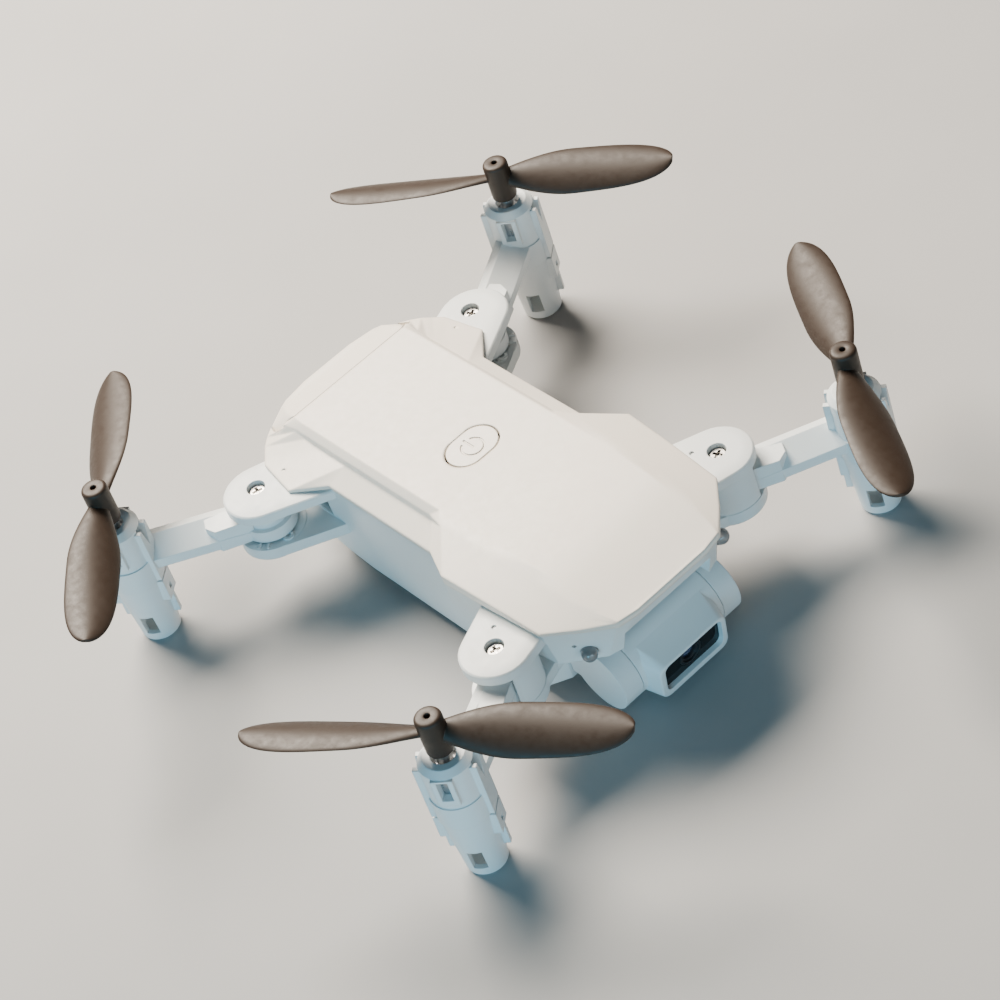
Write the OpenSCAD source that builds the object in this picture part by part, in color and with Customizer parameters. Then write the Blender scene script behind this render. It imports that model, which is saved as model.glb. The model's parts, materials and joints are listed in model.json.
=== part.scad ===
// Mini palm drone with folding arms: a shell in two halves, a slide-in battery that forms the tail,
// a tilting camera barrel in the nose, four folding arms with motor pods, and four two-blade propellers.
// Millimetres. Nose towards -Y, the drone's left towards +X, the feet stand on z = 0.

/* [Airframe] */
// Half the distance between the left and right arm hinges
hinge_x = 27.2; // [26.6:0.1:28]
// Distance of the front hinges ahead of the origin
front_hinge_y = 32.2; // [31.8:0.1:32.6]
// Distance of the rear hinges behind the origin
rear_hinge_y = 34.4; // [34:0.1:35]
// Height of the flat belly above the ground
belly_z = 4; // [3:0.1:4.5]
// Wall thickness of the two shell halves
wall = 1.2; // [0.9:0.1:1.3]

/* [Arms] */
// Hinge to motor axis of the two front arms
front_arm = 25.7; // [25:0.1:27]
// Hinge to motor axis of the two rear arms
rear_arm = 26.8; // [26:0.1:28]
// Angle of the open arms away from straight sideways
arm_angle = 30; // [28:0.5:32]
// Radius of the knuckle at the root of each arm
knuckle_r = 5.1; // [4.6:0.1:5.2]

/* [Motors and feet] */
// Radius of the coreless motor can
motor_r = 3.5; // [3.4:0.05:3.6]
// Length of the motor can
motor_len = 18; // [16:0.5:20]
// Outer radius of the motor pods
pod_r = 4.8; // [4.6:0.1:5]
// Direction that the pod windows face, anticlockwise from the drone's left
window_angle = 40; // [30:1:50]

/* [Propellers] */
// Tip radius of the propellers
prop_r = 34; // [30:0.5:34.5]
// Widest chord of a blade
chord = 9.6; // [7:0.1:10]
// Angles at which the propellers are parked: front left, front right, rear left, rear right
park = [58.5, -53.6, -50.5, 48.5];

/* [Camera] */
// Radius of the camera barrel
barrel_r = 6.6; // [6:0.1:6.7]
// Half the length of the barrel with its end caps
barrel_half = 14.2; // [13.5:0.1:14.4]
// Half the length of the part that tilts
tilt_half = 10; // [9:0.1:10.2]
// Angle by which the camera looks down when it is parked
camera_pitch = 9.7; // [0:0.1:20]

/* [Battery] */
// Width of the battery case where it slides into the body
case_w = 27; // [24:0.5:28]
// How far the battery reaches forward of the origin
case_nose = 10; // [4:0.5:14]

/* [Hidden] */
ARMS = ["front_left", "front_right", "rear_left", "rear_right"];

fine = 64;
smooth = 32;

// Heights
rim_z = 25.4;                 // joint between the shell halves, waist and tail
nose_rim_z = 26.4;            // the same joint around the nose
plateau_z = 31.1;             // flat top of the cover
lug_top = 25.3;
lug_r = [6.6, 6.9];          // hinge plates, front and rear
lug_t = 2.5;
low_lug_z = 12.9;
low_lug_t = 2.5;
knuckle_z = 15.9;
knuckle_h = 6.8;
chine_z = 9;
nose_floor_z = 16.8;

// Camera barrel axis
barrel_y = -39.4;
barrel_z = 8.75;

// Hinges
screw_head_r = 1.4;
screw_shank_r = 0.7;
screw_seat_z = 23.5;
bush_r = 1.2;
running = 0.05;

// Motors
motor_z = 8.6;
motor_top = motor_z + motor_len;
shaft_r = 0.5;
pod_split_z = 14.5;
pod_ring_z = 19.8;
pod_top_z = 28.6;
hub_z = 30;
hub_h = 8.3;
blade_z = 34.6;

// Power button
button_y = 1.3;
button_r = 3.7;
button_reach = 1.5;
slot = 0.35;
tab_half = 1.9;

// Colours
shell_white = [0.93, 0.93, 0.9];
icy_white = [0.86, 0.91, 0.93];
prop_brown = [0.2, 0.17, 0.15];
steel = [0.7, 0.7, 0.72];
board_green = [0.1, 0.35, 0.22];
chip_black = [0.08, 0.08, 0.09];
gold = [0.85, 0.7, 0.35];

function side(k) = k % 2 == 0 ? 1 : -1;
function hinge_y(k) = k < 2 ? -front_hinge_y : rear_hinge_y;
function swing(k) = k < 2 ? -arm_angle : arm_angle;
function reach(k) = k < 2 ? front_arm : rear_arm;
function spin_way(k) = k == 0 || k == 3 ? 1 : -1;

// Moves children from a hinge at the origin, with the arm along +X, to arm k
module at_hinge(k) {
    mirror([side(k) < 0 ? 1 : 0, 0, 0])
        translate([hinge_x, hinge_y(k), 0])
            children();
}

module at_arm(k) {
    at_hinge(k)
        rotate(swing(k))
            children();
}

// Moves children to the motor axis of arm k without turning or mirroring them
module at_motor(k) {
    x = hinge_x + reach(k) * cos(arm_angle);
    y = hinge_y(k) + reach(k) * sin(swing(k));
    translate([side(k) * x, y, 0])
        children();
}

module tube(r_out, r_in, h) {
    difference() {
        cylinder(r = r_out, h = h, $fn = fine);
        translate([0, 0, -1]) cylinder(r = r_in, h = h + 2, $fn = fine);
    }
}

// A cylinder that lies along X, centred on its length
module rod_x(r, length, sides = fine) {
    rotate([0, 90, 0])
        cylinder(r = r, h = length, center = true, $fn = sides);
}

// A solid that is the same left and right. Each ring lists its points on the +X side, from tail to nose.
module twin_loft(rings) {
    n = len(rings[0]);
    m = len(rings);
    all = concat(
        [for (ring = rings) each ring],
        [for (ring = rings) each [for (p = ring) [-p.x, p.y, p.z]]]
    );
    function l(r, i) = r * n + i;
    function r_(r, i) = (m + r) * n + i;
    sides = [
        for (r = [0:m - 2], i = [0:n - 2]) each [
            [l(r, i), l(r + 1, i + 1), l(r + 1, i)],
            [l(r, i), l(r, i + 1), l(r + 1, i + 1)],
            [r_(r, i), r_(r + 1, i), r_(r + 1, i + 1)],
            [r_(r, i), r_(r + 1, i + 1), r_(r, i + 1)]
        ]
    ];
    tail = [for (r = [0:m - 2]) [l(r, 0), l(r + 1, 0), r_(r + 1, 0), r_(r, 0)]];
    nose = [for (r = [0:m - 2]) [l(r, n - 1), r_(r, n - 1), r_(r + 1, n - 1), l(r + 1, n - 1)]];
    floor_faces = [for (i = [0:n - 2]) [l(0, i), r_(0, i), r_(0, i + 1), l(0, i + 1)]];
    roof_faces = [for (i = [0:n - 2]) [l(m - 1, i), l(m - 1, i + 1), r_(m - 1, i + 1), r_(m - 1, i)]];
    polyhedron(points = all, faces = concat(sides, tail, nose, floor_faces, roof_faces));
}

// ---- Top cover ----

// Edge of the flat top, tail to nose
crease = [
    [13.7, 36.4, 31.05], [13.9, 35.4, 31.1], [14, 33, 31.1], [14, 31, 31.1], [14, 29.4, 31.1], [14, 25.6, 31.1],
    [14, 20.6, 31.1], [14, -3.2, 31.3], [14, -5.6, 31.35], [13.8, -20, 31.4], [13.3, -31, 31.1],
    [12.9, -37.5, 30.1], [12.4, -43.5, 28.8], [12.1, -48.2, 27.6], [8, -49, 27.6]
];
// Outer edge of the bevel
brim = [
    [16.2, 42.5, 26.8], [18.1, 41.4, 26.6], [19.9, 40, 26.4], [21.4, 38.4, 26.1], [22.8, 36.8, 25.9],
    [24.5, 27.6, 25.9], [19.4, 21.6, 26.2], [19.4, -6.8, 26.2], [23.1, -15, 28.4], [22.6, -24, 28],
    [22.1, -31, 27.5], [21.6, -38.3, 26.9], [16.9, -43.7, 27.1], [12.2, -48.35, 27.3], [8, -49.15, 27.3]
];
// Upper and lower lips of the side groove; outside the groove both lie on the bevel
lip_top = [
    [16.2, 39, 28.9], [15.2, 36.9, 30], [15.2, 34.6, 29.9], [15.2, 32, 29.85], [15.2, 29.6, 29.8],
    [15.2, 25.6, 29.8], [15.2, 20.6, 29.8], [15.2, -3.4, 29.9]
];
lip_low = [
    [16.3, 39.6, 28.5], [15.5, 37, 29.8], [15.35, 34.6, 29.5], [15.3, 32, 29], [15.3, 29.6, 28.7],
    [15.3, 25.6, 28.6], [15.3, 20.6, 28.6], [15.3, -3.7, 28.7]
];
function between(a, b, t) = a + (b - a) * t;
function groove(lip, t) = [for (i = [0:len(crease) - 1]) i < len(lip) ? lip[i] : between(crease[i], brim[i], t)];
function skirt_z(i) = i < 8 ? rim_z : nose_rim_z;
cover_skirt = [for (i = [0:len(brim) - 1]) [brim[i].x, brim[i].y, skirt_z(i)]];

// Hollow of the cover: plan points with the height of the roof above each
cover_hollow = [
    [12.4, 35, 29.8], [16.5, 34.6, 29.8], [18.8, 30.5, 29.8], [18, 20, 29.8], [18, -9.6, 29.8],
    [20.4, -16, 29.8], [19.7, -30, 29.6], [19.2, -36.6, 28.7], [11.4, -45.6, 26.9], [7, -46.6, 26.9]
];
function hollow_ring(z) = [for (p = cover_hollow) [p.x, p.y, z]];
roof_ring = [for (p = cover_hollow) [min(p.x, 12.6), p.y, p.z]];

module button_outline(grow) {
    for (s = [-1, 1])
        translate([s * button_reach, button_y])
            circle(r = button_r + grow, $fn = fine);
    translate([-button_reach, button_y - button_r - grow])
        square([2 * button_reach, 2 * (button_r + grow)]);
}

// Screw posts inside the cover
module cover_posts() {
    for (p = [[9, 26], [9, -27]], s = [-1, 1])
        translate([s * p.x, p.y, 22.6])
            cylinder(r = 1.5, h = 7.6, $fn = fine);
}

module top_cover() {
    color(shell_white)
    difference() {
        union() {
            difference() {
                twin_loft([cover_skirt, brim, groove(lip_low, 0.5), groove(lip_top, 0.25), crease]);
                twin_loft([hollow_ring(rim_z - 2), hollow_ring(rim_z - 0.2), roof_ring]);
            }
            cover_posts();
        }
        tail_prism(0);
        // slot around the button, which hangs from the cover at its tail side
        translate([0, 0, plateau_z - 4])
            linear_extrude(8)
                button_outline(slot);
        // dimple in each rear margin
        for (s = [-1, 1])
            translate([s * 21.9, 32, 26.3]) cylinder(r = 0.45, h = 2, $fn = fine);
    }
    // land that closes the slot where the button's flexure begins
    color(shell_white)
    intersection() {
        translate([-tab_half, button_y + button_r + 0.04, plateau_z - 0.45])
            cube([2 * tab_half, slot + 0.3, 0.5]);
        translate([-8, -10, plateau_z - 3])
            cube([16, 24, 3.17]);
    }
}

// ---- Bottom shell ----

belly_ring = [
    [12, 36], [15, 35.5], [17.4, 33], [17.9, 27.2], [18.3, 20], [18.5, -6.4], [18.6, -12.6], [18.4, -29], [14.6, -31.2]
];
chine_ring = [
    [13.6, 36.2], [16.6, 36], [18.4, 34.6], [18.8, 27.4], [18.8, 20.6], [18.9, -6.6], [19.4, -13], [19.2, -31.2],
    [14.8, -31.4]
];
rim_ring = [
    [13.6, 36.3], [17.6, 36.1], [19.2, 34.8], [19.2, 27.6], [19.1, 21], [19.1, -6.8], [21.6, -13.6], [21.2, -31.3],
    [15, -31.5]
];
nose_low = [[19, -14], [21, -16], [20.4, -31], [19.6, -37.6], [13.2, -43.6], [10, -44.6], [7, -45]];
nose_high = [[19, -13.4], [22.4, -16.2], [21.7, -31], [21.1, -37.9], [11.9, -47.6], [9.5, -48.3], [7, -48.5]];
function at_z(ring, z) = [for (p = ring) [p.x, p.y, z]];
function inset(ring, z, w) = [for (p = ring) [p.x - w, 2.4 + (p.y - 2.4) * (1 - w / 33.8), z]];
function nose_inset(ring, z, w) = [for (p = ring) [p.x - w, p.y < -42 ? p.y + w : p.y, z]];

module tub() {
    twin_loft([at_z(belly_ring, belly_z), at_z(chine_ring, chine_z), at_z(rim_ring, rim_z - 0.05)]);
}

module tub_hollow() {
    twin_loft([
        inset(belly_ring, belly_z + wall, wall),
        inset(chine_ring, chine_z, wall),
        inset(rim_ring, rim_z + 1, wall)
    ]);
}

// Space under the lip of the nose that the camera head tilts in
module head_space(half, grow) {
    translate([-half, 0, 0])
        rotate([90, 0, 90])
            linear_extrude(2 * half)
                polygon([[-60, 10], [-60, 23.1 + grow], [-47.4, 23.1 + grow], [-42 + grow, 16.7], [-42 + grow, 10]]);
}

module nose_block() {
    difference() {
        twin_loft([at_z(nose_low, nose_floor_z), at_z(nose_high, nose_rim_z - 0.05)]);
        head_space(10.4, 0);
    }
}

module nose_hollow() {
    difference() {
        twin_loft([nose_inset(nose_low, nose_floor_z + wall, wall), nose_inset(nose_high, nose_rim_z + 1, wall)]);
        head_space(10.4 + wall, wall);
    }
}

function plate_r(k) = lug_r[k > 1 ? 1 : 0];

// A plate with a sloping margin, widened towards the body
module plate_disc(r) {
    rotate_extrude($fn = smooth)
        polygon([[0, 0], [r, 0], [r, lug_t - 0.8], [r - 0.3, lug_t - 0.5], [r - 2.4, lug_t], [0, lug_t]]);
}

module upper_plate(k) {
    ends = k > 1 ? [[-9.2, -10.7], [-9.2, 0.5]] : [[-9, 8.4], [-9, -2]];
    translate([0, 0, lug_top - lug_t])
        hull() {
            translate([0, k > 1 ? -0.6 : 0, 0]) plate_disc(plate_r(k));
            for (e = ends)
                translate([e.x, e.y, 0]) plate_disc(2.5);
        }
}

module lower_plate(k) {
    r = 6.5;
    y = k > 1 ? -1 : 1;
    c = cos(arm_angle);
    s = sin(arm_angle);
    translate([0, 0, low_lug_z]) {
        cylinder(r = r + 0.1, h = low_lug_t, $fn = fine);
        linear_extrude(low_lug_t - 0.1)
            polygon([[0, -y * r], [-8.4, -y * 3], [-8.4, y * (r / c + 8.4 * s / c)], [r * s, y * r * c]]);
    }
}

// Round wall that closes the outer side of a hinge
module hinge_wall(k) {
    start = k > 1 ? 70 : -176;
    end = k > 1 ? 176 : -71;
    height = lug_top - low_lug_z - 2;
    translate([0, 0, low_lug_z + 0.5])
        intersection() {
            tube(6.5, knuckle_r + 0.4, height);
            linear_extrude(height)
                polygon([[0, 0], for (a = [start:(end - start) / 8:end]) 14 * [cos(a), sin(a)]]);
        }
}

// Spring post and stop ribs on the lower plate of a rear hinge
module detent_parts() {
    top = low_lug_t - 0.6;
    difference() {
        union() {
            translate([0.2, -5.2, low_lug_z + 1]) cylinder(r = 1.1, h = top, $fn = fine);
            for (a = [-44, -26])
                rotate(a)
                    translate([5, -0.25, low_lug_z + 1])
                        cube([1.3, 0.5, top]);
        }
        translate([0.2, -5.2, low_lug_z - 1]) cylinder(r = 0.45, h = 6, $fn = fine);
    }
}

module hinge_bores() {
    // well for the screw head, bore for the bush, and thread in the lower plate
    translate([0, 0, screw_seat_z]) cylinder(r = 1.77, h = 4, $fn = fine);
    translate([0, 0, low_lug_z + 1.2]) cylinder(r = bush_r, h = 20, $fn = fine);
    translate([0, 0, low_lug_z - 1]) cylinder(r = screw_shank_r, h = 8, $fn = fine);
}

module bottom_shell() {
    color(icy_white)
    difference() {
        union() {
            difference() {
                union() {
                    tub();
                    nose_block();
                    for (k = [0:3])
                        at_hinge(k) {
                            upper_plate(k);
                            lower_plate(k);
                            hinge_wall(k);
                            if (k > 1) detent_parts();
                        }
                }
                tub_hollow();
                nose_hollow();
            }
            board_posts();
            rails();
        }
        for (k = [0:3]) at_hinge(k) hinge_bores();
        // opening that the battery slides through
        translate([-case_w / 2 - 0.1, 30, belly_z + wall + 0.1])
            cube([case_w + 0.2, 10, 14.4]);
        headlight_holes();
        wire_ports();
        cover_screw_holes();
        // slot for the camera cable
        translate([-4.2, -32, 14.4]) cube([8.4, 2.5, 0.8]);
        // dimple in each front hinge plate
        for (s = [-1, 1])
            translate([s * 24.25, -28.9, lug_top - 0.3]) cylinder(r = 0.45, h = 2, $fn = fine);
    }
}

// Posts under the front of the board and, above the battery, brackets under its rear
module board_posts() {
    for (s = [-1, 1])
        difference() {
            union() {
                translate([s * 11, -24, belly_z + 0.6])
                    cylinder(r = 1.5, h = board_z - belly_z - 0.62, $fn = fine);
                translate([s * 13.9 - 4.3, 28.6, board_z - 1.22])
                    cube([8.6, 2.8, 1.2]);
            }
            for (y = [-24, 30])
                translate([s * 11, y, board_z - 1.4]) cylinder(r = 0.83, h = 4, $fn = fine);
        }
}

// Guide rails for the battery
module rails() {
    for (s = [-1, 1])
        translate([s * (case_w / 2 + 1) - 0.7, -6, belly_z + 0.6])
            cube([1.4, 36, 5]);
}

function light_dir(s) = s > 0 ? -46 : -134;

module at_headlight(s) {
    translate([s * 15.7, -42.2, 19.6])
        rotate([0, 90, light_dir(s)])
            children();
}

module headlight_holes() {
    for (s = [-1, 1]) {
        at_headlight(s) cylinder(r = 1.55, h = 6, center = true, $fn = fine);
        // pinhole inboard of the lamp
        translate([s * 18.1, -41.5, 21.5])
            rotate([0, 90, light_dir(s)])
                cylinder(r = 0.4, h = 5, center = true, $fn = fine);
    }
}

// Openings that lead the motor wires from the hinges into the body
module wire_ports() {
    for (k = [0:3])
        at_hinge(k)
            translate(k > 1 ? [-12, -8.6, 15.6] : [-10, 1.6, 15.6])
                cube([6.4, 5.2, 6.9]);
}

module cover_screw_holes() {
    for (p = [[9, 26], [9, -27]], s = [-1, 1])
        translate([s * p.x, p.y, belly_z - 1])
            cylinder(r = 0.9, h = 3, $fn = fine);
}

module hinge_screws() {
    color(steel)
    for (k = [0:3])
        at_hinge(k)
            difference() {
                union() {
                    translate([0, 0, screw_seat_z]) cylinder(r = screw_head_r, h = 0.9, $fn = fine);
                    translate([0, 0, low_lug_z + 0.6])
                        cylinder(r = screw_shank_r - 0.03, h = screw_seat_z - low_lug_z, $fn = fine);
                }
                translate([0, 0, screw_seat_z + 0.35]) phillips();
            }
}

// Cross recess of a small screw
module phillips() {
    for (a = [0, 90])
        rotate(a + 20)
            translate([-0.95, -0.27, 0])
                cube([1.9, 0.54, 1]);
}

module hinge_bushes() {
    color(steel)
    for (k = [0:3])
        at_hinge(k)
            translate([0, 0, low_lug_z + 1.2])
                tube(bush_r - 0.01, screw_shank_r + 0.01, screw_seat_z - low_lug_z - 1.2);
}

module hinge_washers() {
    color(steel)
    for (k = [0:3])
        at_hinge(k)
            translate([0, 0, low_lug_z + low_lug_t])
                tube(3.4, bush_r + 0.05, 0.35);
}

// ---- Electronics ----

board_z = 20.8;
board_t = 1;

module main_board() {
    color(board_green)
    difference() {
        translate([0, 0, board_z])
            linear_extrude(board_t)
                polygon([[-15, 31], [15, 31], [17, 18], [17, -8], [17.5, -28], [11, -40], [-11, -40],
                         [-17.5, -28], [-17, -8], [-17, 18]]);
        for (x = [-11, 11], y = [-24, 30])
            translate([x, y, board_z - 1]) cylinder(r = 0.95, h = 3, $fn = fine);
    }
}

module chip(x, y, w, d, h) {
    translate([x - w / 2, y - d / 2, board_z + board_t])
        cube([w, d, h]);
}

module board_chips() {
    color(chip_black) {
        chip(0, -12, 7, 7, 0.9);
        chip(-9, -8, 5, 5, 0.8);
        chip(0, -26, 6, 8, 1);
        chip(9.5, -10, 3, 3, 0.8);
        for (x = [-13, 13], y = [-18, 16]) chip(x, y, 3, 1.6, 1);
        chip(8, 9, 3.2, 5, 1.4);
        chip(-8, 9, 2.5, 2, 0.8);
    }
}

module board_screws() {
    color(steel)
    for (x = [-11, 11], y = [-24, 30])
        translate([x, y, 0])
            difference() {
                union() {
                    translate([0, 0, board_z + board_t]) cylinder(r = 1.5, h = 0.8, $fn = fine);
                    translate([0, 0, board_z - 1]) cylinder(r = 0.8, h = board_t + 1.2, $fn = fine);
                }
                translate([0, 0, board_z + board_t + 0.4]) phillips();
            }
}

module tact_switch() {
    color(chip_black)
    translate([0, button_y, board_z + board_t])
        difference() {
            translate([-3, -3, 0]) cube([6, 6, 3.6]);
            translate([0, 0, 1.2]) cylinder(r = 1.75, h = 5, $fn = fine);
        }
}

// Pin that hangs from the button and presses the switch
module switch_plunger() {
    color(chip_black)
    translate([0, button_y, board_z + board_t + 2])
        cylinder(r = 1.1, h = 29.38 - board_z - board_t - 2, $fn = fine);
}

// Power symbol: a broken ring and a bar
module power_mark() {
    difference() {
        circle(r = 2.3, $fn = fine);
        circle(r = 1.95, $fn = fine);
        polygon([[0, 0], [-2, 4], [2, 4]]);
    }
    translate([-0.17, -0.3])
        square([0.34, 2.9]);
}

module power_button() {
    color(shell_white)
    difference() {
        union() {
            translate([0, 0, 29.8])
                linear_extrude(plateau_z + 0.17 - 29.8)
                    button_outline(0);
            translate([0, button_y, 29.4])
                cylinder(r = 1.2, h = 1, $fn = fine);
        }
        translate([0, button_y - 0.2, plateau_z])
            linear_extrude(1)
                power_mark();
    }
}

module battery_socket() {
    color(chip_black)
    translate([0, -case_nose - 3, 0])
        difference() {
            translate([-6, -2.5, belly_z + wall + 1.2]) cube([12, 5, board_z - belly_z - wall - 1.2]);
            for (x = [-3.5, 0, 3.5])
                translate([x - 0.6, 1.5, 9]) cube([1.2, 2, 4]);
        }
}

module antenna_wire() {
    color(chip_black)
    translate([-16, 0, board_z + board_t + 0.6])
        rotate([90, 0, 0])
            cylinder(r = 0.4, h = 28, center = true, $fn = 16);
}

module headlight(s) {
    color([0.5, 0.5, 0.5])
    at_headlight(s) {
        translate([0, 0, -2.4]) cylinder(r = 1.5, h = 3, $fn = fine);
        translate([0, 0, 0.6]) sphere(r = 1.5, $fn = fine);
        translate([0, 0, -3]) cylinder(r = 1.53, h = 0.7, $fn = fine);
    }
}

// ---- Camera ----

module at_barrel() {
    translate([0, barrel_y, barrel_z])
        children();
}

pivot_r = 1.6;

module camera_cap(s) {
    cap = barrel_half - tilt_half - 0.12;
    color(icy_white)
    at_barrel()
        difference() {
            union() {
                translate([s * (barrel_half - cap / 2), 0, 0]) rod_x(barrel_r, cap);
                // bracket back to the shell
                translate([s * (barrel_half - cap / 2) - cap / 2, 0, -3])
                    cube([cap, -barrel_y - 31.6, 7]);
            }
            translate([s * tilt_half, 0, 0]) rod_x(pivot_r + running, 4);
        }
}

// Camera frame: the barrel axis, pitched down to where the camera is parked
module at_camera() {
    at_barrel()
        rotate([camera_pitch, 0, 0])
            children();
}

window_y = -9.1;
window_w = 6.9;
window_h = 3.4;

// A slab with rounded corners that faces forward, from y0 back to y1
module slab(w, h, r, y0, y1) {
    translate([0, y1, 0])
        rotate([90, 0, 0])
            linear_extrude(y1 - y0) {
                square([2 * w, 2 * (h - r)], center = true);
                square([2 * (w - r), 2 * h], center = true);
                for (x = [r - w, w - r], z = [r - h, h - r])
                    translate([x, z]) circle(r = r, $fn = smooth);
            }
}

module camera_housing() {
    color(icy_white)
    at_camera()
        difference() {
            union() {
                rod_x(barrel_r, 2 * tilt_half);
                rod_x(pivot_r, 2 * tilt_half + 3.4);
                camera_head();
            }
            // inside of the barrel, open at the back for the rear cover
            rod_x(barrel_r - 1.1, 2 * tilt_half - 2.4);
            translate([-tilt_half + 1.2, 0, -barrel_r]) cube([2 * tilt_half - 2.4, barrel_r + 1, 2 * barrel_r]);
            // window recess and lens bore
            slab(window_w, window_h, 1.3, window_y - 3, window_y + 1.7);
            rotate([90, 0, 0]) cylinder(r = 2.6, h = 20, $fn = fine);
        }
}

// The head tapers from the barrel to the rounded bezel around the window
module camera_head() {
    hull() {
        rod_x(barrel_r - 0.12, 15.8, smooth);
        rod_x(barrel_r - 1.3, 18.8, smooth);
        for (x = [-1, 1], z = [1.95, -3])
            translate([x * 6.2, window_y + 0.9, z])
                rotate([90, 0, 0])
                    cylinder(r = 1.9, h = 0.7, $fn = smooth);
        for (x = [-1, 1], z = [1.95, -3])
            translate([x * 6.2, window_y + 0.9, z])
                rotate([90, 0, 0])
                    cylinder(r = 1.65, h = 0.9, $fn = smooth);
    }
}

module camera_rear_cover() {
    color(icy_white)
    at_camera()
        intersection() {
            difference() {
                rod_x(barrel_r, 2 * tilt_half - 2.6);
                rod_x(barrel_r - 1.1, 40);
            }
            translate([-20, 0.1, -barrel_r]) cube([40, barrel_r + 2, 2 * barrel_r]);
        }
}

module camera_window() {
    color(chip_black)
    at_camera()
        difference() {
            slab(window_w - 0.05, window_h - 0.05, 1.25, window_y + 1, window_y + 1.68);
            rotate([90, 0, 0]) cylinder(r = 2.6, h = 20, $fn = fine);
        }
}

// Lens tube with a stepped front ring
module lens_barrel() {
    color(chip_black)
    at_camera()
        rotate([90, 0, 0])
            difference() {
                translate([0, 0, 2]) cylinder(r = 2.5, h = -window_y - 3, $fn = fine);
                translate([0, 0, -window_y - 2.6]) cylinder(r = 1.6, h = 4, $fn = fine);
                translate([0, 0, -window_y - 1.4]) cylinder(r = 2.1, h = 4, $fn = fine);
            }
}

module lens_glass() {
    color([0.1, 0.12, 0.2])
    at_camera()
        rotate([90, 0, 0])
            intersection() {
                translate([0, 0, -window_y - 2.55]) cylinder(r = 1.55, h = 2, $fn = fine);
                translate([0, 0, -window_y - 4.3]) sphere(r = 2.8, $fn = fine);
            }
}

module sensor_board() {
    color(board_green)
    at_camera()
        translate([0, -1.4, 0])
            cube([9.4, 1, 8.4], center = true);
}

module camera_cable() {
    color(gold)
    translate([-4, -31.2, 14.6])
        cube([8, 3, 0.3]);
}

// ---- Battery ----

// Plan of the tail: it fills the gap between the two horns of the cover
seam_gap = 0.12;
tail_plan = [[13.7, 36.3], [14.9, 37.6], [16.4, 38.5], [16.9, 39.4], [16.8, 40.6], [16.1, 42.7], [17, 60]];

module tail_prism(clearance) {
    linear_extrude(80)
        polygon([
            for (p = tail_plan) [p.x - clearance, p.y + clearance],
            for (i = [len(tail_plan) - 1:-1:0]) [clearance - tail_plan[i].x, tail_plan[i].y + clearance]
        ]);
}

module battery_tail() {
    intersection() {
        twin_loft([
            [[5, 42.6, 4.6], [10, 42.2, 4.6], [12.4, 41, 4.6], [12.6, 38, 4.6], [12.6, 34, 4.6]],
            [[6, 44.4, 8.5], [12, 43.8, 8.5], [15, 42, 8.5], [15.4, 38, 8.5], [15.4, 34, 8.5]],
            [[6, 45.3, 25.2], [12.9, 44.6, 25.2], [16.1, 42.8, 25.2], [17.2, 38, 25.2], [17.4, 34, 25.2]],
            [[6, 45.1, 26.8], [12.6, 44.2, 26.8], [15.8, 42.6, 26.8], [17, 38, 27], [17.4, 34, 27]],
            [[5.6, 43.9, 29.2], [11, 43.1, 29.2], [12.7, 42.4, 29.2], [14.3, 38.4, 30.2], [14.9, 34, 30.4]],
            [[5.2, 43.1, 29.6], [10.4, 42.5, 29.6], [12.3, 41.8, 29.6], [13.6, 38.2, 30.6], [14, 34, 31.5]]
        ]);
        tail_prism(seam_gap);
    }
}

case_z = belly_z + wall + 0.3;
case_h = 13.6;
case_end = 37;

module battery_case() {
    color(shell_white)
    difference() {
        union() {
            battery_tail();
            translate([-case_w / 2 + 0.1, -case_nose, case_z])
                cube([case_w - 0.2, case_end + case_nose, case_h]);
        }
        // room for the cell, open at the top
        translate([-case_w / 2 + 1.2, -case_nose + 1.2, case_z + 1.1])
            cube([case_w - 2.4, case_end - 0.6 + case_nose, case_h]);
        // hollow of the tail and the hole of the charging socket
        translate([-11, 37.6, case_z + 1.1])
            cube([22, 5.8, 20.4]);
        translate([-4.1, 40, charge_z - 0.1])
            cube([8.2, 8, 3.2]);
    }
}

module battery_lid() {
    color(shell_white)
    translate([-case_w / 2 + 1.25, -case_nose + 1.25, case_z + case_h - 1.1])
        cube([case_w - 2.5, 35.1 + case_nose, 1.1]);
}

module battery_cell() {
    color([0.75, 0.77, 0.8])
    translate([-11.2, -case_nose + 4.4, case_z + 1.15])
        cube([22.4, 38, 10.4]);
}

module battery_board() {
    color(board_green)
    translate([-8, -case_nose + 1.25, case_z + 1.6])
        cube([16, 1, 9]);
}

charge_z = 8.6;

module charge_port() {
    color(steel)
    translate([-4, 40.1, charge_z])
        difference() {
            cube([8, 5, 3]);
            translate([0.4, 0.5, 0.4]) cube([7.2, 6, 2.2]);
            translate([2.2, -1, 1.2]) cube([3.6, 3, 0.6]);
        }
}

// ---- Arms, feet and motors ----

beam_tilt = 4;
beam_section = [[2.9, 0], [3.1, 4.3], [1.2, 4.9], [-3.4, 2.4], [-3, 0]];

module arm_beam(length) {
    translate([0, 0, 15.6])
        rotate([0, -beam_tilt, 0])
            translate([3.2, 0, 0])
                rotate([90, 0, 90])
                    linear_extrude(length - 4.6)
                        polygon(beam_section);
    // full-width block at the root of the beam
    translate([0, 0, 16])
        linear_extrude(5.1)
            polygon([[3, -3.3], [9.8, -3.3], [11.4, -1.5], [11.4, 1.4], [3, 1.4]]);
}

module pod_shell() {
    // collar below the ring step
    translate([0, 0, pod_split_z]) cylinder(r = pod_r + 0.25, h = pod_ring_z - pod_split_z, $fn = fine);
    translate([0, 0, pod_ring_z]) cylinder(r = pod_r, h = pod_top_z - 1.1 - pod_ring_z, $fn = fine);
    translate([0, 0, pod_top_z - 1.1]) cylinder(r1 = pod_r, r2 = pod_r - 1.1, h = 1.1, $fn = fine);
}

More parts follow.
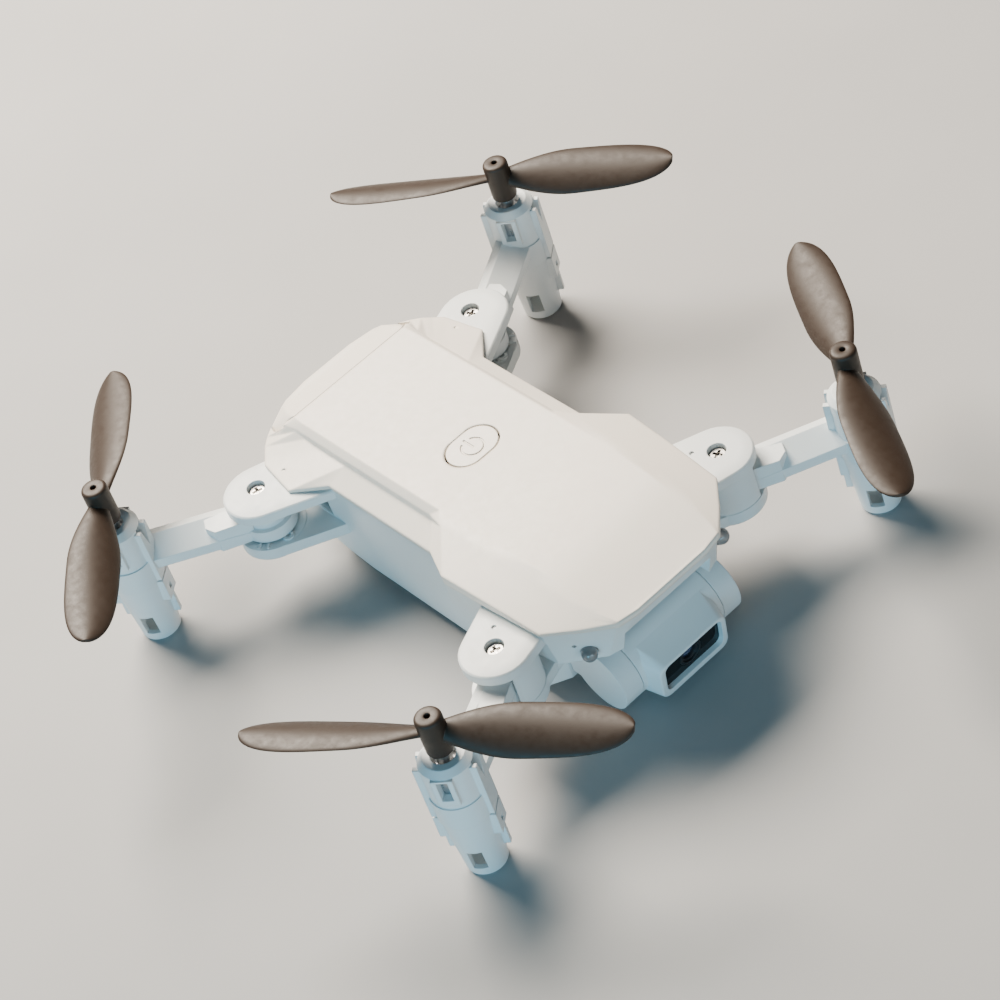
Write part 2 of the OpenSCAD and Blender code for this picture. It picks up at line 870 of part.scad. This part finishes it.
// Flat pads around the windows and the clip rails at right angles to them
module pod_pads() {
    for (a = [0, 180])
        rotate(window_angle + a)
            translate([pod_r - 1.2, -1.9, pod_ring_z + 1.4])
                cube([1.55, 3.8, 6.2]);
    for (a = [90, 270])
        rotate(window_angle + a)
            translate([pod_r - 1, -2.1, pod_split_z + 0.3])
                cube([1.7, 4.2, 12.1]);
}

module pod_cuts() {
    translate([0, 0, pod_split_z - 1]) cylinder(r = motor_r + 0.03, h = motor_top - pod_split_z + 1.1, $fn = fine);
    translate([0, 0, motor_top - 1]) cylinder(r = 2.3, h = 8, $fn = fine);
    for (a = [0, 180])
        rotate(window_angle + a)
            translate([2.6, -1, 22.4])
                cube([6, 2, 4.6]);
    // V notches
    for (a = [90, 270])
        rotate(window_angle + a)
            translate([2.9, 0, 22.2])
                rotate([90, 0, 90])
                    linear_extrude(5)
                        polygon([[0, 0], [1.3, 5.2], [-1.3, 5.2]]);
}

module arm(k) {
    color(icy_white)
    difference() {
        union() {
            at_arm(k) {
                arm_beam(reach(k));
                translate([0, 0, knuckle_z]) cylinder(r = knuckle_r, h = 2.6, $fn = fine);
                translate([0, 0, knuckle_z]) cylinder(r = knuckle_r - 0.9, h = knuckle_h, $fn = fine);
            }
            at_motor(k) {
                pod_shell();
                pod_pads();
            }
        }
        at_arm(k) {
            cylinder(r = bush_r + running, h = 40, $fn = fine);
            // channel for the motor wires under the beam
            translate([5.4, -0.9, 14]) cube([reach(k) - 6.4, 1.8, 3.4]);
        }
        at_motor(k) pod_cuts();
    }
}

module foot(k) {
    color(icy_white)
    at_motor(k)
        difference() {
            union() {
                translate([0, 0, 0.6]) cylinder(r1 = 3.8, r2 = pod_r, h = pod_split_z - 0.65, $fn = fine);
                cylinder(r1 = 3.2, r2 = 3.8, h = 0.6, $fn = fine);
                // clip blocks
                for (a = [90, 270])
                    rotate(window_angle + a)
                        translate([3.6, -2.1, 9.4])
                            cube([1.9, 4.2, 5]);
                // fins
                for (a = [90, 270])
                    rotate(window_angle + a)
                        translate([3.4, -0.45, 4.6])
                            cube([2, 0.9, 5.4]);
            }
            translate([0, 0, motor_z - 0.02]) cylinder(r = motor_r + 0.03, h = 20, $fn = fine);
            translate([0, 0, 1.2]) cylinder(r = 2.9, h = 20, $fn = fine);
            for (a = [0, 180])
                rotate(window_angle + a)
                    translate([1.6, -1.3, 2.4])
                        cube([6, 2.6, 4.6]);
            for (a = [90, 270])
                rotate(window_angle + a)
                    translate([4.2, -0.5, 10.6])
                        cube([3, 1, 1.2]);
        }
}

module motor(k) {
    color(steel)
    at_motor(k)
        difference() {
            union() {
                translate([0, 0, motor_z]) cylinder(r = motor_r, h = motor_len, $fn = fine);
                translate([0, 0, motor_top]) cylinder(r = 1.4, h = 2.6, $fn = fine);
            }
            translate([0, 0, motor_z + 1]) cylinder(r = shaft_r + running, h = 40, $fn = fine);
        }
}

module motor_shaft(k) {
    color(steel)
    at_motor(k)
        translate([0, 0, motor_z + 1.2])
            cylinder(r = shaft_r, h = 36.4 - motor_z - 1.2, $fn = fine);
}

module motor_wires(k) {
    color("red")
    at_arm(k)
        for (y = [-0.45, 0.45])
            translate([7, y, 15.95])
                rotate([0, 90 - beam_tilt, 0])
                    cylinder(r = 0.35, h = reach(k) - 12.4, $fn = 16);
}

// ---- Propellers ----

stations = 11;
ribs = 10;
// Shares of the radius, the chord and the pitch along a blade
function share(i) = sin(90 * i / (stations - 1));
function blade_x(t) = 1.1 + (prop_r - 1.1) * t;
function blade_chord(t) = chord * (t < 0.42 ? 0.36 + 0.64 * sin(90 * t / 0.42) : sqrt(max(0.02, 1 - pow((t - 0.42) / 0.585, 3.6))));
function blade_pitch(t) = 30 - 17 * t;
function blade_half(t) = 0.75 - 0.4 * t;
function rib(i) =
    let (t = share(i), c = blade_chord(t), h = blade_half(t), a = blade_pitch(t))
    [for (j = [0:ribs - 1])
        let (q = 360 * j / ribs, y = c / 2 * cos(q), z = h * sin(q) - 0.9 * c / chord * pow(cos(q), 2))
        [blade_x(t), y * cos(a) - z * sin(a), y * sin(a) + z * cos(a)]];

module blade() {
    points = [for (i = [0:stations - 1]) each rib(i)];
    faces = concat(
        [[for (j = [0:ribs - 1]) j]],
        [for (i = [0:stations - 2], j = [0:ribs - 1])
            let (a = i * ribs + j, b = i * ribs + (j + 1) % ribs)
            each [[a, a + ribs, b + ribs], [a, b + ribs, b]]],
        [[for (j = [ribs - 1:-1:0]) (stations - 1) * ribs + j]]
    );
    polyhedron(points = points, faces = faces);
}

module propeller(k) {
    color(prop_brown)
    at_motor(k)
        rotate(park[k])
            difference() {
                union() {
                    translate([0, 0, hub_z]) cylinder(r = 2.45, h = hub_h - 0.5, $fn = fine);
                    translate([0, 0, hub_z + hub_h - 0.5]) cylinder(r1 = 2.45, r2 = 2.05, h = 0.5, $fn = fine);
                    for (a = [0, 180])
                        rotate(a)
                            translate([0, 0, blade_z])
                                mirror([0, spin_way(k) > 0 ? 1 : 0, 0])
                                    blade();
                }
                translate([0, 0, hub_z - 1]) cylinder(r = shaft_r + 0.01, h = 7.5, $fn = fine);
                translate([0, 0, hub_z + hub_h - 1]) cylinder(r = 0.45, h = 3, $fn = fine);
            }
}

top_cover();
bottom_shell();
hinge_screws();
hinge_bushes();
hinge_washers();
main_board();
board_chips();
board_screws();
tact_switch();
switch_plunger();
power_button();
battery_socket();
antenna_wire();
headlight(1);  // headlight_left
headlight(-1);  // headlight_right
camera_cap(1);  // camera_cap_left
camera_cap(-1);  // camera_cap_right
camera_cable();
camera_housing();
camera_rear_cover();
camera_window();
lens_barrel();
lens_glass();
sensor_board();
battery_case();
battery_lid();
battery_cell();
battery_board();
charge_port();
for (k = [0:3]) {
    arm(k);
    foot(k);
    motor(k);
    motor_wires(k);
    motor_shaft(k);
    propeller(k);
}
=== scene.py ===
"""Mini palm drone: looks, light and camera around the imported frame. Metres, nose towards -Y, up +Z."""
import json
import math

import bpy
from mathutils import Matrix, Vector


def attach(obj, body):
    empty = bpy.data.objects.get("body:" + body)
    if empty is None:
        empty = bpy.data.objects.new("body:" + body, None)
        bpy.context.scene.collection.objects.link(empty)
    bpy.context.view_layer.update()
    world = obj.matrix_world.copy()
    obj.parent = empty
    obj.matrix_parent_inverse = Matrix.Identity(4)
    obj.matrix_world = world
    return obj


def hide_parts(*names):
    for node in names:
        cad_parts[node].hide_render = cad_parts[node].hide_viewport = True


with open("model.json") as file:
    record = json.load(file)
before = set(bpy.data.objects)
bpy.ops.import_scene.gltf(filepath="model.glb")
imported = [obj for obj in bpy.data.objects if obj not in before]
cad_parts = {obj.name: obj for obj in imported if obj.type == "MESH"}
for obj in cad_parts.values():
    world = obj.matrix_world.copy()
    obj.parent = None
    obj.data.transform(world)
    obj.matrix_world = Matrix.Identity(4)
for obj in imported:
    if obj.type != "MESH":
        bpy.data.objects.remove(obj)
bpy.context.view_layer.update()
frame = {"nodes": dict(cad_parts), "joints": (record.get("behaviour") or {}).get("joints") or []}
nodes = frame["nodes"]

MM = 0.001
ARMS = ("front_left", "front_right", "rear_left", "rear_right")

# grain of the surfaces: scales in cycles per metre, depth in metres
MOTTLE_SCALE = 160
SMUDGE_SCALE = 620
GRAIN_DEPTH = 0.00006


# ---------------------------------------------------------------- materials

def link(tree, source, output, target, socket):
    tree.links.new(source.outputs[output], target.inputs[socket])


def ramp(tree, low, high):
    """A grey ramp between two (position, value) stops."""
    node = tree.nodes.new("ShaderNodeValToRGB")
    for element, (at, value) in zip(node.color_ramp.elements, (low, high)):
        element.position = at
        element.color = (value, value, value, 1)
    return node


def noise(tree, coords, scale, detail, rough):
    """Noise with its scale in cycles per metre."""
    node = tree.nodes.new("ShaderNodeTexNoise")
    node.inputs["Scale"].default_value = scale
    node.inputs["Detail"].default_value = detail
    node.inputs["Roughness"].default_value = rough
    tree.links.new(coords, node.inputs["Vector"])
    return node


def edge_mask(tree, radius):
    """1 on convex edges and 0 elsewhere, from the difference between the rounded and the true normal."""
    bevel = tree.nodes.new("ShaderNodeBevel")
    bevel.samples = 6
    bevel.inputs["Radius"].default_value = radius
    geo = tree.nodes.new("ShaderNodeNewGeometry")
    dot = tree.nodes.new("ShaderNodeVectorMath")
    dot.operation = "DOT_PRODUCT"
    tree.links.new(bevel.outputs["Normal"], dot.inputs[0])
    tree.links.new(geo.outputs["Normal"], dot.inputs[1])
    shape = ramp(tree, (0.55, 1.0), (0.985, 0.0))
    tree.links.new(dot.outputs["Value"], shape.inputs["Fac"])
    return bevel, shape


def surface(
    name,
    colour,
    roughness=0.4,
    metallic=0.0,
    spread=0.08,
    grain=(5200, 0.05),
    mottle=0.03,
    wear=(0.15, (1.0, 1.0, 1.0), 0.35),
    edge=0.00015,
    ior=1.46,
    coat=0.0,
    subsurface=0.0,
    stretch=None,
    transmission=0.0,
):
    """A moulded, drawn or polished surface: fine grain, roughness that varies, and edges worn a little.

    grain is (scale per metre, bump strength), wear is (amount, colour, roughness) of the worn edges,
    and edge is the radius of the shaded edges in metres.
    """
    m = bpy.data.materials.new(name)
    m.use_nodes = True
    tree = m.node_tree
    bsdf = tree.nodes["Principled BSDF"]
    coord = tree.nodes.new("ShaderNodeTexCoord")
    mapping = tree.nodes.new("ShaderNodeMapping")
    link(tree, coord, "Object", mapping, "Vector")
    if stretch:
        mapping.inputs["Scale"].default_value = stretch
    vec = mapping.outputs["Vector"]

    fine = noise(tree, vec, grain[0], 2.0, 0.6)
    broad = noise(tree, vec, MOTTLE_SCALE, 4.0, 0.6)
    smudge = noise(tree, vec, SMUDGE_SCALE, 5.0, 0.65)
    bevel, edges = edge_mask(tree, edge)

    # colour: base, slow mottling, worn edges
    dark = tree.nodes.new("ShaderNodeMix")
    dark.data_type = "RGBA"
    dark.inputs[6].default_value = tuple(c * (1 - mottle) for c in colour) + (1,)
    dark.inputs[7].default_value = tuple(min(1.0, c * (1 + mottle)) for c in colour) + (1,)
    link(tree, broad, "Fac", dark, 0)
    worn = tree.nodes.new("ShaderNodeMix")
    worn.data_type = "RGBA"
    scuff = tree.nodes.new("ShaderNodeMath")
    scuff.operation = "MULTIPLY"
    patches = ramp(tree, (0.42, 0.25), (0.62, 1.0))
    link(tree, smudge, "Fac", patches, "Fac")
    link(tree, edges, "Color", scuff, 0)
    link(tree, patches, "Color", scuff, 1)
    amount = tree.nodes.new("ShaderNodeMath")
    amount.operation = "MULTIPLY"
    amount.inputs[1].default_value = wear[0]
    link(tree, scuff, "Value", amount, 0)
    link(tree, amount, "Value", worn, 0)
    tree.links.new(dark.outputs[2], worn.inputs[6])
    worn.inputs[7].default_value = tuple(wear[1]) + (1,)
    tree.links.new(worn.outputs[2], bsdf.inputs["Base Color"])

    # roughness: base, smudges, smoother edges
    low, high = max(0.02, roughness - spread), min(1.0, roughness + spread)
    rough = ramp(tree, (0.3, low), (0.7, high))
    link(tree, smudge, "Fac", rough, "Fac")
    polish = tree.nodes.new("ShaderNodeMix")
    polish.data_type = "FLOAT"
    link(tree, amount, "Value", polish, 0)
    link(tree, rough, "Color", polish, 2)
    polish.inputs[3].default_value = wear[2]
    tree.links.new(polish.outputs[0], bsdf.inputs["Roughness"])

    # relief: fine grain over the rounded edges
    bump = tree.nodes.new("ShaderNodeBump")
    bump.inputs["Strength"].default_value = grain[1]
    bump.inputs["Distance"].default_value = GRAIN_DEPTH
    link(tree, fine, "Fac", bump, "Height")
    link(tree, bevel, "Normal", bump, "Normal")
    link(tree, bump, "Normal", bsdf, "Normal")

    bsdf.inputs["Metallic"].default_value = metallic
    bsdf.inputs["IOR"].default_value = ior
    bsdf.inputs["Coat Weight"].default_value = coat
    bsdf.inputs["Coat Roughness"].default_value = 0.06
    bsdf.inputs["Subsurface Weight"].default_value = subsurface
    bsdf.inputs["Subsurface Radius"].default_value = (0.0009, 0.0007, 0.0006)
    bsdf.inputs["Transmission Weight"].default_value = transmission
    m.diffuse_color = tuple(colour) + (1,)
    return m


cover_white = surface(
    "cover_white", (0.80, 0.748, 0.675), 0.43, spread=0.06, grain=(5200, 0.05), mottle=0.012,
    wear=(0.2, (0.86, 0.83, 0.79), 0.36), edge=0.0007, subsurface=0.04,
)
# The shell and arm materials are the cover's white plastic with a bluer, darker base and worn-edge colour:
# painted cool light from the low front-left fill on the sides.
shell_white = surface(
    "shell_white", (0.70, 0.735, 0.74), 0.42, spread=0.07, grain=(5200, 0.06), mottle=0.015,
    wear=(0.2, (0.84, 0.87, 0.88), 0.34), edge=0.0003, subsurface=0.04,
)
arm_white_painted_cool_light = surface(
    "arm_white_painted_cool_light", (0.71, 0.75, 0.76), 0.4, spread=0.07, grain=(4800, 0.06), mottle=0.015,
    wear=(0.22, (0.86, 0.89, 0.9), 0.33), edge=0.00028, subsurface=0.04,
)
button_white = surface(
    "button_white", (0.80, 0.748, 0.675), 0.36, spread=0.05, grain=(5600, 0.04), mottle=0.012,
    wear=(0.3, (0.86, 0.84, 0.8), 0.28), edge=0.00025, subsurface=0.03,
)
blade_brown = surface(
    "blade_brown", (0.03, 0.019, 0.013), 0.47, spread=0.08, grain=(4200, 0.08), mottle=0.08,
    wear=(0.22, (0.13, 0.1, 0.08), 0.4), edge=0.0002, ior=1.37,
)
nickel = surface(
    "nickel", (0.42, 0.405, 0.385), 0.3, 1.0, spread=0.09, grain=(7000, 0.08), mottle=0.05,
    wear=(0.5, (0.82, 0.8, 0.77), 0.2), edge=0.00012,
)
can_steel = surface(
    "can_steel", (0.56, 0.56, 0.57), 0.32, 1.0, spread=0.08, grain=(5200, 0.1), mottle=0.05,
    wear=(0.4, (0.75, 0.75, 0.74), 0.24), edge=0.00012, stretch=(1, 1, 0.15),
)
nylon = surface(
    "nylon", (0.62, 0.64, 0.63), 0.5, grain=(4200, 0.05), mottle=0.03,
    wear=(0.2, (0.72, 0.74, 0.73), 0.42), subsurface=0.1,
)
board_green = surface(
    "board_green", (0.02, 0.11, 0.05), 0.34, spread=0.07, grain=(2600, 0.09), mottle=0.18,
    wear=(0.35, (0.35, 0.33, 0.22), 0.5), coat=0.3,
)
epoxy = surface(
    "epoxy", (0.02, 0.02, 0.022), 0.55, spread=0.07, grain=(5200, 0.12), mottle=0.12,
    wear=(0.25, (0.1, 0.1, 0.1), 0.45),
)
black_plastic = surface(
    "black_plastic", (0.018, 0.018, 0.02), 0.42, spread=0.08, grain=(4600, 0.08), mottle=0.1,
    wear=(0.25, (0.08, 0.08, 0.08), 0.32),
)
window_black = surface(
    "window_black", (0.004, 0.004, 0.005), 0.09, spread=0.04, grain=(3200, 0.006), mottle=0.1,
    wear=(0.2, (0.03, 0.03, 0.033), 0.2), edge=0.0001, ior=1.35, coat=0.15,
)
coated_glass = surface(
    "coated_glass", (0.05, 0.06, 0.12), 0.04, spread=0.02, grain=(2400, 0.005), mottle=0.15,
    wear=(0.1, (0.1, 0.12, 0.2), 0.1), edge=0.00005, ior=1.6, coat=1.0,
)
clear_epoxy = surface(
    "clear_epoxy", (0.38, 0.37, 0.37), 0.08, spread=0.05, grain=(2600, 0.01), mottle=0.1,
    wear=(0.15, (0.7, 0.7, 0.7), 0.15), edge=0.0001, ior=1.5, coat=0.6, transmission=0.55,
)
red_silicone = surface(
    "red_silicone", (0.5, 0.03, 0.025), 0.4, grain=(3600, 0.05), mottle=0.06,
    wear=(0.2, (0.6, 0.1, 0.08), 0.32),
)
cell_foil = surface(
    "cell_foil", (0.6, 0.61, 0.63), 0.3, 0.7, spread=0.1, grain=(900, 0.25), mottle=0.05,
    wear=(0.4, (0.75, 0.75, 0.76), 0.22),
)

LOOK = {
    "top_cover": cover_white,
    "bottom_shell": shell_white,
    "hinge_screws": nickel,
    "hinge_bushes": nickel,
    "hinge_washers": nylon,
    "main_board": board_green,
    "board_chips": epoxy,
    "board_screws": nickel,
    "tact_switch": black_plastic,
    "switch_plunger": black_plastic,
    "power_button": button_white,
    "battery_socket": black_plastic,
    "antenna_wire": black_plastic,
    "headlight_left": clear_epoxy,
    "headlight_right": clear_epoxy,
    "camera_cap_left": arm_white_painted_cool_light,
    "camera_cap_right": arm_white_painted_cool_light,
    "camera_cable": board_green,
    "camera_housing": arm_white_painted_cool_light,
    "camera_rear_cover": arm_white_painted_cool_light,
    "camera_window": window_black,
    "lens_barrel": black_plastic,
    "lens_glass": coated_glass,
    "sensor_board": board_green,
    "battery_case": cover_white,
    "battery_lid": cover_white,
    "battery_cell": cell_foil,
    "battery_board": board_green,
    "charge_port": can_steel,
}
for arm in ARMS:
    LOOK["arm_" + arm] = arm_white_painted_cool_light
    LOOK["foot_" + arm] = arm_white_painted_cool_light
    LOOK["motor_" + arm] = can_steel
    LOOK["motor_wires_" + arm] = red_silicone
    LOOK["motor_shaft_" + arm] = nickel
    LOOK["propeller_" + arm] = blade_brown

for name, obj in nodes.items():
    for s in obj.material_slots:
        s.material = LOOK[name]


# ---------------------------------------------------------------- soft edges on the moulded shells

def smooth_by_angle(degrees):
    """A node group that shades everything smooth except across edges sharper than the angle."""
    group = bpy.data.node_groups.new("smooth_by_angle", "GeometryNodeTree")
    group.interface.new_socket("Geometry", in_out="INPUT", socket_type="NodeSocketGeometry")
    group.interface.new_socket("Geometry", in_out="OUTPUT", socket_type="NodeSocketGeometry")
    start, end = group.nodes.new("NodeGroupInput"), group.nodes.new("NodeGroupOutput")
    all_smooth = group.nodes.new("GeometryNodeSetShadeSmooth")
    all_smooth.domain = "FACE"
    all_smooth.inputs["Shade Smooth"].default_value = True
    sharp = group.nodes.new("GeometryNodeSetShadeSmooth")
    sharp.domain = "EDGE"
    sharp.inputs["Shade Smooth"].default_value = False
    angle = group.nodes.new("GeometryNodeInputMeshEdgeAngle")
    over = group.nodes.new("FunctionNodeCompare")
    over.data_type = "FLOAT"
    over.operation = "GREATER_THAN"
    over.inputs[1].default_value = math.radians(degrees)
    group.links.new(angle.outputs["Unsigned Angle"], over.inputs[0])
    group.links.new(over.outputs["Result"], sharp.inputs["Selection"])
    group.links.new(start.outputs[0], all_smooth.inputs["Geometry"])
    group.links.new(all_smooth.outputs[0], sharp.inputs["Geometry"])
    group.links.new(sharp.outputs[0], end.inputs[0])
    return group


# angles in degrees, widths of the rounded edges in metres
SMOOTH_BELOW = 20
FLAT_BELOW = 0.6
BEVEL_ABOVE = 28
SOFT_EDGES = {
    "top_cover": 0.00025,
    "battery_case": 0.00022,
    "bottom_shell": 0.0002,
    "camera_housing": 0.0002,
}
by_angle = smooth_by_angle(SMOOTH_BELOW)


def soften(obj, width):
    """Rounds the sharp edges of a shell a little and smooths the shallow creases between its facets."""
    weld = obj.modifiers.new("weld", "WELD")
    weld.merge_threshold = 2e-6
    flat = obj.modifiers.new("flat", "DECIMATE")
    flat.decimate_type = "DISSOLVE"
    flat.angle_limit = math.radians(FLAT_BELOW)
    bevel = obj.modifiers.new("bevel", "BEVEL")
    bevel.limit_method = "ANGLE"
    bevel.angle_limit = math.radians(BEVEL_ABOVE)
    bevel.width = width
    bevel.segments = 2
    bevel.use_clamp_overlap = True
    bevel.loop_slide = False
    shade = obj.modifiers.new("shade", "NODES")
    shade.node_group = by_angle
    weighted = obj.modifiers.new("weighted", "WEIGHTED_NORMAL")
    weighted.keep_sharp = True
    weighted.weight = 80


for name, width in SOFT_EDGES.items():
    soften(nodes[name], width)


# ---------------------------------------------------------------- propellers

# in millimetres and degrees
HUB_R, HUB_Z, HUB_TOP = 2.45, 30.0, 38.3
BLADE_Z, TIP_R, CHORD, ROOT = 34.6, 34.0, 9.6, 1.1
# the blade is widest at this share of its length and narrows both ways
WIDEST = 0.42
ROOT_CHORD = 0.36
TIP_LENGTH, TIP_POWER, TIP_LEAST = 0.585, 3.6, 0.012
ROOT_PITCH, TWIST = 30, 17
ROOT_HALF, THINNING = 0.75, 0.4
CAMBER = 0.9
# turn of each propeller about its shaft where it is parked
PARK = {"front_left": 58.5, "front_right": -53.6, "rear_left": -50.5, "rear_right": 48.5}


def blade_section(t, ribs):
    """The radius and the closed outline of the blade at t, from 0 at the hub to 1 at the tip."""
    if t < WIDEST:
        chord = CHORD * (ROOT_CHORD + (1 - ROOT_CHORD) * math.sin(math.radians(90 * t / WIDEST)))
    else:
        chord = CHORD * math.sqrt(max(TIP_LEAST, 1 - ((t - WIDEST) / TIP_LENGTH) ** TIP_POWER))
    pitch = math.radians(ROOT_PITCH - TWIST * t)
    half = ROOT_HALF - THINNING * t
    ring = []
    for j in range(ribs):
        q = 2 * math.pi * j / ribs
        y = chord / 2 * math.cos(q)
        z = half * math.sin(q) - CAMBER * chord / CHORD * math.cos(q) ** 2
        ring.append((y * math.cos(pitch) - z * math.sin(pitch), y * math.sin(pitch) + z * math.cos(pitch)))
    return ROOT + (TIP_R - ROOT) * t, ring


def blade_mesh(verts, faces, turn, flip, stations=44, ribs=28):
    """Adds one blade, turned about the hub. The stations are closer together towards the tip."""
    first = len(verts)
    c, s = math.cos(turn), math.sin(turn)
    for i in range(stations):
        x, ring = blade_section(math.sin(math.pi / 2 * i / (stations - 1)), ribs)
        for y, z in ring:
            y = -y if flip else y
            verts.append((x * c - y * s, x * s + y * c, BLADE_Z + z))
    for i in range(stations - 1):
        for j in range(ribs):
            a, b = first + i * ribs + j, first + i * ribs + (j + 1) % ribs
            quad = [a, a + ribs, b + ribs, b]
            faces.append(quad[::-1] if not flip else quad)
    tip = [first + (stations - 1) * ribs + j for j in range(ribs)]
    faces.append(tip if not flip else tip[::-1])


def lathe(verts, faces, profile, turns=56):
    """Adds a closed body turned about Z from (radius, height) points."""
    first = len(verts)
    for r, z in profile:
        for j in range(turns):
            q = 2 * math.pi * j / turns
            verts.append((r * math.cos(q), r * math.sin(q), z))
    rows = len(profile)
    for i in range(rows - 1):
        for j in range(turns):
            a, b = first + i * turns + j, first + i * turns + (j + 1) % turns
            faces.append([a, b, b + turns, a + turns])
    faces.append([first + j for j in range(turns)][::-1])
    faces.append([first + (rows - 1) * turns + j for j in range(turns)])


def smooth_mesh(name, verts, faces, place, material, split=35):
    """An object from points and faces, smooth except across edges sharper than split degrees."""
    mesh = bpy.data.meshes.new(name)
    mesh.from_pydata([tuple(place @ Vector(v)) for v in verts], [], faces)
    mesh.validate()
    mesh.update()
    obj = bpy.data.objects.new(name, mesh)
    bpy.context.scene.collection.objects.link(obj)
    mesh.materials.append(material)
    mesh.polygons.foreach_set("use_smooth", [True] * len(mesh.polygons))
    mesh.set_sharp_from_angle(angle=math.radians(split))
    return obj


HUB_PROFILE = (
    (0.6, HUB_Z),
    (HUB_R - 0.2, HUB_Z),
    (HUB_R - 0.05, HUB_Z + 0.15),
    (HUB_R, HUB_Z + 0.4),
    (HUB_R, HUB_TOP - 0.75),
    (HUB_R - 0.05, HUB_TOP - 0.45),
    (HUB_R - 0.19, HUB_TOP - 0.22),
    (HUB_R - 0.4, HUB_TOP - 0.08),
    (HUB_R - 0.65, HUB_TOP),
    (0.75, HUB_TOP),
    (0.58, HUB_TOP - 0.06),
    (0.5, HUB_TOP - 0.18),
    (0.48, HUB_TOP - 1.3),
)
joint_at = {j["child"]: Vector(j["pos_m"]) for j in frame["joints"] if j.get("pos_m")}
for arm in ARMS:
    verts, faces = [], []
    flip = arm in ("front_left", "rear_right")
    for turn in (0, math.pi):
        blade_mesh(verts, faces, turn, flip)
    lathe(verts, faces, HUB_PROFILE)
    axis = joint_at[arm + "_prop"]
    turned = Matrix.Rotation(math.radians(PARK[arm]), 4, "Z")
    place = Matrix.Translation((axis.x, axis.y, 0)) @ turned @ Matrix.Scale(MM, 4)
    prop = smooth_mesh("blades_" + arm, verts, faces, place, blade_brown)
    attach(prop, arm + "_prop")
    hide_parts("propeller_" + arm)


# ---------------------------------------------------------------- floor, light, camera

def floor_material():
    m = bpy.data.materials.new("pale_floor")
    m.use_nodes = True
    tree = m.node_tree
    bsdf = tree.nodes["Principled BSDF"]
    coord = tree.nodes.new("ShaderNodeTexCoord")
    n = noise(tree, coord.outputs["Object"], 14, 5.0, 0.5)
    shade = ramp(tree, (0.35, 0.36), (0.65, 0.385))
    link(tree, n, "Fac", shade, "Fac")
    link(tree, shade, "Color", bsdf, "Base Color")
    bsdf.inputs["Roughness"].default_value = 0.75
    return m


FLOOR_HALF = 3
corners = [(x * FLOOR_HALF, y * FLOOR_HALF, 0) for x, y in ((-1, -1), (1, -1), (1, 1), (-1, 1))]
mesh = bpy.data.meshes.new("studio_floor")
mesh.from_pydata(corners, [], [(0, 1, 2, 3)])
floor = bpy.data.objects.new("studio_floor", mesh)
bpy.context.scene.collection.objects.link(floor)
mesh.materials.append(floor_material())


def area_light(name, location, target, size, power, colour):
    """A rectangular soft light in watts, turned towards a target point."""
    data = bpy.data.lights.new(name, "AREA")
    data.shape = "RECTANGLE"
    data.size, data.size_y = size
    data.energy = power
    data.color = colour
    obj = bpy.data.objects.new(name, data)
    obj.location = location
    obj.rotation_euler = (Vector(target) - Vector(location)).to_track_quat("-Z", "Y").to_euler()
    bpy.context.scene.collection.objects.link(obj)


area_light("key_back", (0.05, 0.5, 0.6), (0, 0, 0.02), (0.5, 0.4), 27.0, (1.0, 0.9, 0.77))
area_light("fill_cool", (-0.6, -0.3, 0.16), (0, 0, 0.015), (0.4, 0.25), 2.2, (0.16, 0.68, 1.0))
area_light("fill_front", (-0.2, -0.62, 0.14), (0, -0.04, 0.015), (0.6, 0.25), 1.7, (0.6, 0.86, 1.0))

world = bpy.data.worlds.new("studio")
world.use_nodes = True
background = world.node_tree.nodes["Background"]
background.inputs["Color"].default_value = (0.78, 0.83, 0.88, 1)
background.inputs["Strength"].default_value = 0.07
bpy.context.scene.world = world

# seen from the front right, about 43 degrees above the floor, with the nose towards the lower right
CAMERA_AT = (-0.19728, -0.37519, 0.42151)
CAMERA_RIGHT = (0.7135, -0.6524, -0.2559)
CAMERA_UP = (0.6138, 0.4058, 0.6772)
CAMERA_BACK = (-0.3379, -0.6402, 0.6899)
cam_data = bpy.data.cameras.new("camera")
cam_data.lens = 117.3
cam_data.sensor_width = 36.0
cam_data.clip_start, cam_data.clip_end = 0.01, 20
cam = bpy.data.objects.new("camera", cam_data)
axes = Matrix((CAMERA_RIGHT, CAMERA_UP, CAMERA_BACK)).transposed()
cam.matrix_world = Matrix.Translation(CAMERA_AT) @ axes.to_4x4()
bpy.context.scene.collection.objects.link(cam)
bpy.context.scene.camera = cam
